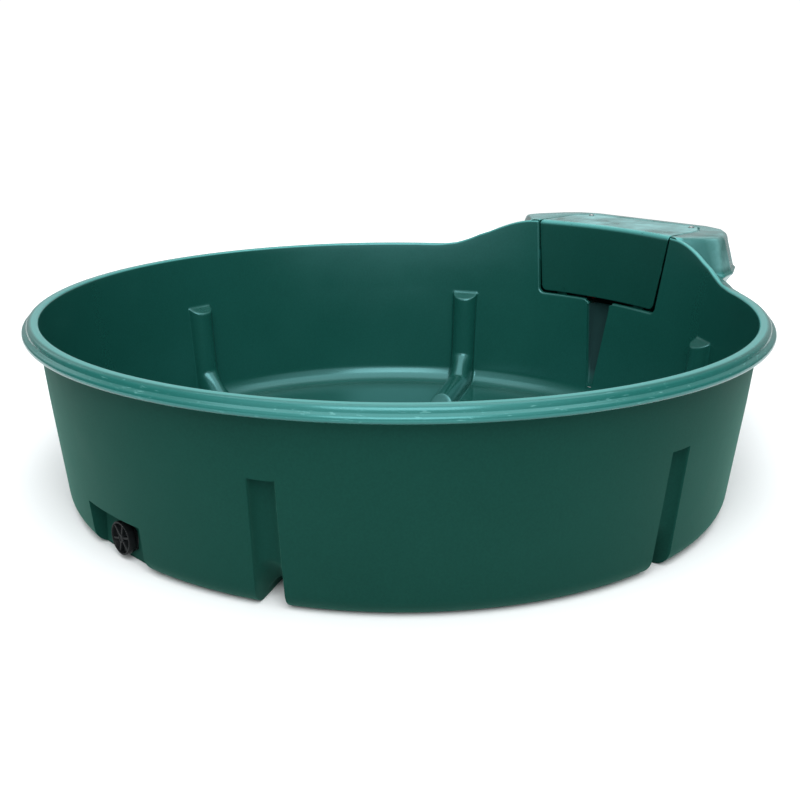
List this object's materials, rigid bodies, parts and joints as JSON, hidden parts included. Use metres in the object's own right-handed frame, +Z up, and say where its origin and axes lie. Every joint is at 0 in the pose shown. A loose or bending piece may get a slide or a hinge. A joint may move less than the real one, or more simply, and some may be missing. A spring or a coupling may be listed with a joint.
{
  "type": "livestock water trough",
  "caption": "Round moulded cattle trough with stiffening ribs, a raised service box with lift-off cover, a ball float valve and a threaded drain.",
  "frame": {"origin": "centre of the underside of the base, on the ground", "axes": "+Z up, +Y towards the service box, -Y towards the drain, +X to the right seen from the drain side"},
  "size_m": [2.0996, 2.3778, 0.6377],
  "materials": {
    "green_polyethylene": "semi-gloss, fine orange-peel",
    "cover_polyethylene": "semi-gloss, dusty on top",
    "stainless_steel": "brushed",
    "brass": "cast and turned",
    "nylon": "matte",
    "black_plastic": "satin",
    "rubber": "matte",
    "red_float": "satin"
  },
  "bodies": {
    "tank": {"tank_shell": "green_polyethylene", "cover_inserts": "brass", "valve_body": "brass", "valve_seat": "nylon", "piston_cap": "brass", "pivot_pin": "stainless_steel", "pin_clip": "stainless_steel", "inlet_seal": "rubber", "inlet_backnut": "brass", "drain_body": "black_plastic", "drain_gasket": "rubber", "drain_backnut": "black_plastic"},
    "cover": {"service_cover": "cover_polyethylene", "cover_washers": "stainless_steel"},
    "left_screw": {"cover_screw_left": "stainless_steel"},
    "right_screw": {"cover_screw_right": "stainless_steel"},
    "piston": {"valve_piston": "brass", "piston_washer": "rubber"},
    "float_lever": {"float_arm": "brass", "float_ball": "red_float", "float_nut": "brass"},
    "plug_travel": {"plug_seal": "rubber"},
    "plug": {"drain_plug": "black_plastic"}
  },
  "joints": [
    {"name": "cover_lift", "type": "slide", "parent": "tank", "child": "cover", "axis": [0, 0, 1], "range_m": [0, 0.285]},
    {"name": "left_screw_turn", "type": "hinge", "parent": "cover", "child": "left_screw", "pos_m": [-0.212, 1.208, 0.633], "axis": [0, 0, 1], "continuous": true},
    {"name": "right_screw_turn", "type": "hinge", "parent": "cover", "child": "right_screw", "pos_m": [0.212, 1.208, 0.633], "axis": [0, 0, 1], "continuous": true},
    {"name": "float_swing", "type": "hinge", "parent": "tank", "child": "float_lever", "pos_m": [-0.33, 1.085, 0.528], "axis": [0, -1, 0], "range_deg": [0, 16]},
    {"name": "piston_slide", "type": "slide", "parent": "tank", "child": "piston", "axis": [-1, 0, 0], "range_m": [0, 0.0056]},
    {"name": "plug_unscrew", "type": "slide", "parent": "tank", "child": "plug_travel", "axis": [0, -1, 0], "range_m": [0, 0.037]},
    {"name": "plug_turn", "type": "hinge", "parent": "plug_travel", "child": "plug", "pos_m": [0, -0.93, 0.057], "axis": [0, -1, 0], "range_deg": [0, 5760]}
  ],
  "couplings": [
    {"joint": "piston_slide", "follows": "float_swing", "m_per_rad": 0.02},
    {"joint": "plug_unscrew", "follows": "plug_turn", "m_per_rad": 0.0003675}
  ]
}
